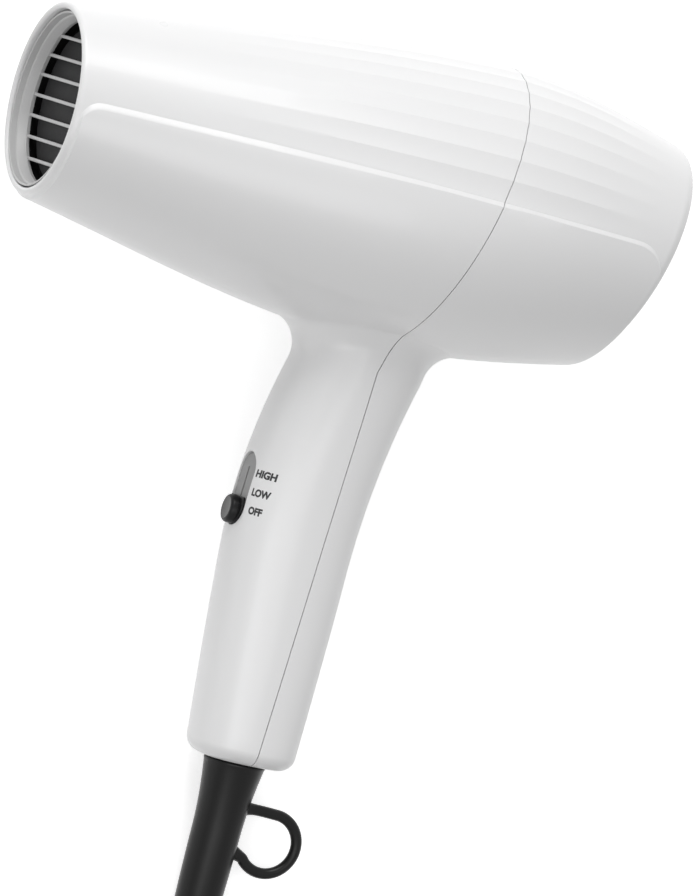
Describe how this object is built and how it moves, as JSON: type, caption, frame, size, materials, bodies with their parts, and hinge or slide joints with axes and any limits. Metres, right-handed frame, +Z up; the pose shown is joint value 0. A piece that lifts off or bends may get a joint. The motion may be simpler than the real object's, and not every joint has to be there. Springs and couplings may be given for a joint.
{
  "type": "hair dryer",
  "caption": "White hand-held hair dryer with a fluted tapering barrel, slatted air outlet, rear intake grille, slide switch, hanging loop and a coiled black cord with a safety plug.",
  "frame": {"origin": "on the surface the dryer lies on, under the middle of the dryer's own box, its cord left out", "axes": "+Z up from that surface, +X along the barrel from the air outlet to the intake, +Y from the cord end of the handle towards the barrel"},
  "size_m": [0.2188, 0.4535, 0.0899],
  "materials": {
    "white_shell": "glossy white moulded plastic",
    "grey_plastic": "satin grey plastic",
    "dark_plastic": "dark heat-resistant plastic",
    "black_plastic": "satin black plastic",
    "grey_button": "satin grey plastic",
    "red_button": "satin red plastic",
    "black_rubber": "soft black cord jacket with a low sheen",
    "mica": "pale brown mica sheet",
    "steel": "zinc-plated steel",
    "resistance_wire": "dull nickel-chromium wire",
    "brass": "bright brass",
    "red_wire": "red wire sleeve",
    "white_wire": "white wire sleeve"
  },
  "bodies": {
    "dryer": {"front_housing": "white_shell", "rear_housing": "white_shell", "intake_grille": "white_shell", "switch_bezel": "grey_plastic", "outlet_grille": "grey_plastic", "lint_screen": "grey_plastic", "switch_body": "dark_plastic", "motor_mount": "dark_plastic", "cord_clamp": "dark_plastic", "cord_tie": "black_plastic", "plug_housing": "black_plastic", "plug_cover": "black_plastic", "strain_relief": "black_rubber", "cord_lead": "black_rubber", "cord_coil": "black_rubber", "plug_relief": "black_rubber", "heater_tube": "mica", "mica_board_upright": "mica", "mica_board_level": "mica", "housing_screw_upper": "steel", "housing_screw_lower": "steel", "thermostat": "steel", "motor": "steel", "heater_coil": "resistance_wire", "thermal_fuse": "brass", "plug_blade_line": "brass", "plug_blade_neutral": "brass", "rectifier_board": "brass", "lead_line": "red_wire", "lead_heater": "red_wire", "lead_neutral": "white_wire"},
    "fan_rotor": {"fan": "dark_plastic", "motor_shaft": "steel"},
    "switch_slider": {"switch_knob": "black_plastic", "switch_lever": "grey_plastic"},
    "test_key": {"test_button": "grey_button"},
    "reset_key": {"reset_button": "red_button"}
  },
  "joints": [
    {"name": "fan_spin", "type": "hinge", "parent": "dryer", "child": "fan_rotor", "pos_m": [0.05019, 0.08976, 0.04659], "axis": [0.9971, -0.0337, 0.0688], "continuous": true},
    {"name": "switch_slide", "type": "slide", "parent": "dryer", "child": "switch_slider", "axis": [0.0456, 0.9839, 0.1725], "range_m": [0, 0.0105]},
    {"name": "test_press", "type": "slide", "parent": "dryer", "child": "test_key", "axis": [1, 0, 0], "range_m": [0, 0.0012], "stiffness_N_per_m": 200},
    {"name": "reset_press", "type": "slide", "parent": "dryer", "child": "reset_key", "axis": [1, 0, 0], "range_m": [0, 0.0012], "stiffness_N_per_m": 200}
  ]
}
